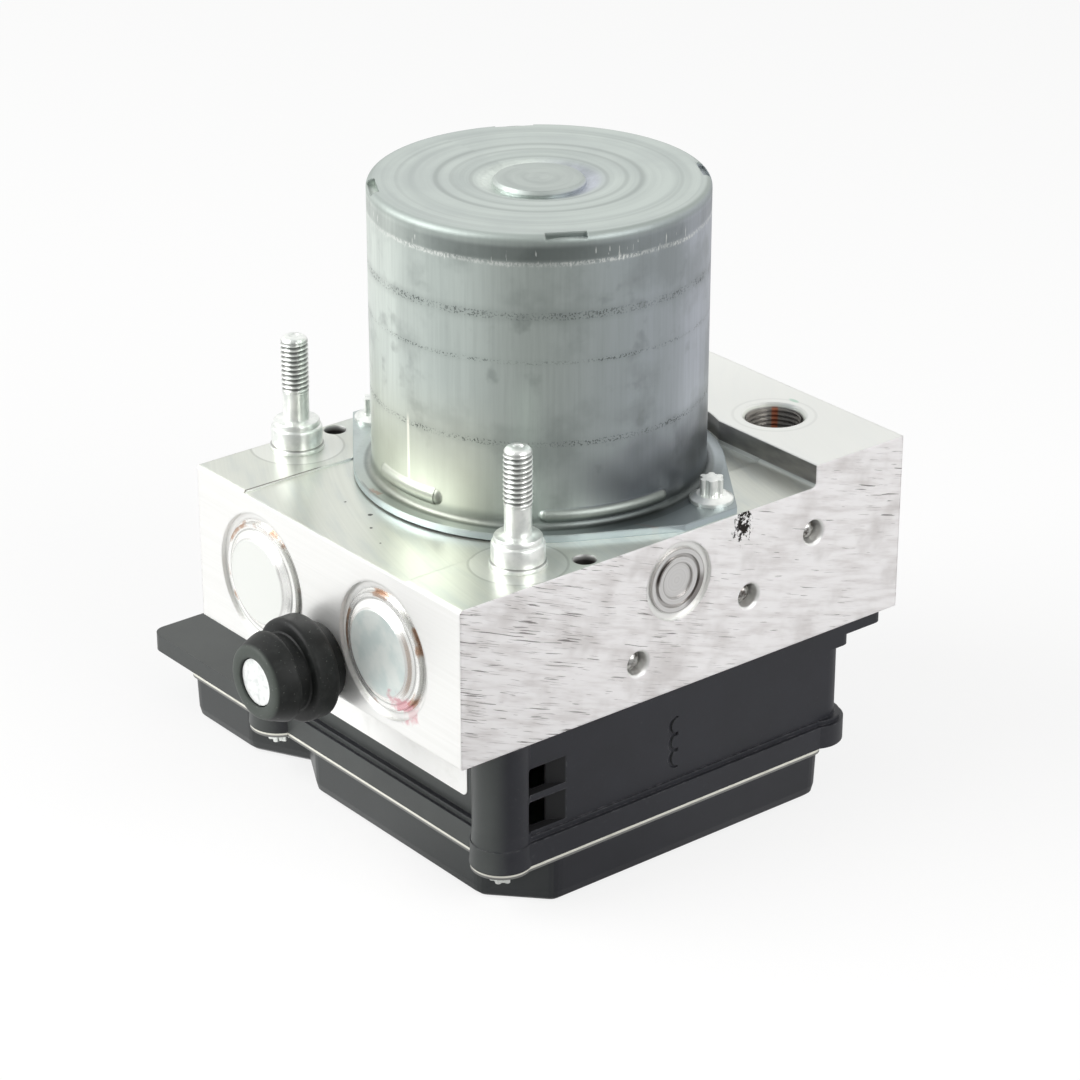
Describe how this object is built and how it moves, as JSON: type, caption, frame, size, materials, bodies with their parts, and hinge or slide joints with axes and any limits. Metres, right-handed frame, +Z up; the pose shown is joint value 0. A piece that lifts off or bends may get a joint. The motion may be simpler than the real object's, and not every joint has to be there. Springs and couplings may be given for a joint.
{
  "type": "abs brake module",
  "caption": "Brake pressure module: milled valve block with motor and pump above, control unit below, studs and rubber mount.",
  "frame": {"origin": "under the motor's axis, in the plane of the cover's floor", "axes": "+Z up along the motor's axis, +X towards the long side with the pump plug and ball plugs, -Y towards the face with the reservoir caps"},
  "size_m": [0.1277, 0.1306, 0.133],
  "materials": {
    "block_metal": "milled, sawn on the sides",
    "steel": "ground",
    "plug_metal": "turned",
    "cap_steel": "pressed, satin",
    "dark_metal": "plain",
    "spring_steel": "wire",
    "zinc_steel": "zinc plated",
    "rubber": "matt",
    "can_steel": "drawn, zinc plated",
    "magnet": "sintered",
    "pale_plastic": "moulded",
    "carbon": "pressed",
    "contact_metal": "bright",
    "copper": "bare and enamelled",
    "unit_plastic": "moulded",
    "plate_metal": "rolled",
    "board": "lacquered",
    "components": "moulded",
    "cover_plastic": "moulded",
    "label_paper": "satin paper"
  },
  "bodies": {
    "module": {"valve_block": "block_metal", "ball_plugs": "steel", "pump_plug_right": "plug_metal", "pump_plug_left": "plug_metal", "reservoir_cap_right": "cap_steel", "reservoir_cap_left": "cap_steel", "reservoir_spring_right": "spring_steel", "reservoir_spring_left": "spring_steel", "mounting_studs": "zinc_steel", "mount_pin": "zinc_steel", "rubber_mount": "rubber", "motor_can": "can_steel", "motor_screws": "zinc_steel", "motor_seal": "rubber", "motor_magnets": "magnet", "upper_bearing": "steel", "lower_bearing": "steel", "end_bearing": "steel", "brush_plate": "pale_plastic", "brushes": "carbon", "brush_springs": "spring_steel", "motor_terminals": "contact_metal", "pump_spring_right": "spring_steel", "pump_spring_left": "spring_steel", "inlet_valves": "steel", "outlet_valves": "steel", "inlet_springs": "spring_steel", "outlet_springs": "spring_steel", "coil_cases": "steel", "coil_bobbins": "pale_plastic", "solenoid_coils": "copper", "coil_terminals": "contact_metal", "ecu_housing": "unit_plastic", "housing_seal": "rubber", "base_plate": "plate_metal", "circuit_board": "board", "board_components": "components", "connector_pins": "contact_metal", "ecu_cover": "cover_plastic", "ecu_screws": "zinc_steel", "ecu_label": "label_paper"},
    "rotor": {"armature_core": "dark_metal", "armature_windings": "copper", "commutator": "copper", "motor_shaft": "steel", "eccentric_bearing": "steel"},
    "pump_right": {"pump_piston_right": "steel"},
    "reservoir_right": {"reservoir_piston_right": "dark_metal"},
    "pump_left": {"pump_piston_left": "steel"},
    "reservoir_left": {"reservoir_piston_left": "dark_metal"},
    "inlet_1": {"inlet_armature_1": "steel"},
    "inlet_2": {"inlet_armature_2": "steel"},
    "inlet_3": {"inlet_armature_3": "steel"},
    "inlet_4": {"inlet_armature_4": "steel"},
    "outlet_1": {"outlet_armature_1": "steel"},
    "outlet_2": {"outlet_armature_2": "steel"},
    "outlet_3": {"outlet_armature_3": "steel"},
    "outlet_4": {"outlet_armature_4": "steel"}
  },
  "joints": [
    {"name": "rotor_spin", "type": "hinge", "parent": "module", "child": "rotor", "pos_m": [0, 0, 0.06], "axis": [0, 0, 1], "continuous": true},
    {"name": "pump_right_slide", "type": "slide", "parent": "module", "child": "pump_right", "axis": [1, 0, 0], "range_m": [-0.0009, 0.0009], "stiffness_N_per_m": 1500, "deforming": ["pump_spring_right"]},
    {"name": "pump_left_slide", "type": "slide", "parent": "module", "child": "pump_left", "axis": [-1, 0, 0], "range_m": [-0.0009, 0.0009], "stiffness_N_per_m": 1500, "deforming": ["pump_spring_left"]},
    {"name": "reservoir_right_slide", "type": "slide", "parent": "module", "child": "reservoir_right", "axis": [0, -1, 0], "range_m": [0, 0.006], "stiffness_N_per_m": 2000, "springref_m": -0.003, "deforming": ["reservoir_spring_right"]},
    {"name": "reservoir_left_slide", "type": "slide", "parent": "module", "child": "reservoir_left", "axis": [0, -1, 0], "range_m": [0, 0.006], "stiffness_N_per_m": 2000, "springref_m": -0.003, "deforming": ["reservoir_spring_left"]},
    {"name": "inlet_1_lift", "type": "slide", "parent": "module", "child": "inlet_1", "axis": [0, 0, 1], "range_m": [0, 0.00035], "stiffness_N_per_m": 1500, "springref_m": -0.0005, "deforming": ["inlet_springs"]},
    {"name": "inlet_2_lift", "type": "slide", "parent": "module", "child": "inlet_2", "axis": [0, 0, 1], "range_m": [0, 0.00035], "stiffness_N_per_m": 1500, "springref_m": -0.0005, "deforming": ["inlet_springs"]},
    {"name": "inlet_3_lift", "type": "slide", "parent": "module", "child": "inlet_3", "axis": [0, 0, 1], "range_m": [0, 0.00035], "stiffness_N_per_m": 1500, "springref_m": -0.0005, "deforming": ["inlet_springs"]},
    {"name": "inlet_4_lift", "type": "slide", "parent": "module", "child": "inlet_4", "axis": [0, 0, 1], "range_m": [0, 0.00035], "stiffness_N_per_m": 1500, "springref_m": -0.0005, "deforming": ["inlet_springs"]},
    {"name": "outlet_1_lift", "type": "slide", "parent": "module", "child": "outlet_1", "axis": [0, 0, -1], "range_m": [0, 0.00035], "stiffness_N_per_m": 1500, "springref_m": -0.0005, "deforming": ["outlet_springs"]},
    {"name": "outlet_2_lift", "type": "slide", "parent": "module", "child": "outlet_2", "axis": [0, 0, -1], "range_m": [0, 0.00035], "stiffness_N_per_m": 1500, "springref_m": -0.0005, "deforming": ["outlet_springs"]},
    {"name": "outlet_3_lift", "type": "slide", "parent": "module", "child": "outlet_3", "axis": [0, 0, -1], "range_m": [0, 0.00035], "stiffness_N_per_m": 1500, "springref_m": -0.0005, "deforming": ["outlet_springs"]},
    {"name": "outlet_4_lift", "type": "slide", "parent": "module", "child": "outlet_4", "axis": [0, 0, -1], "range_m": [0, 0.00035], "stiffness_N_per_m": 1500, "springref_m": -0.0005, "deforming": ["outlet_springs"]}
  ]
}
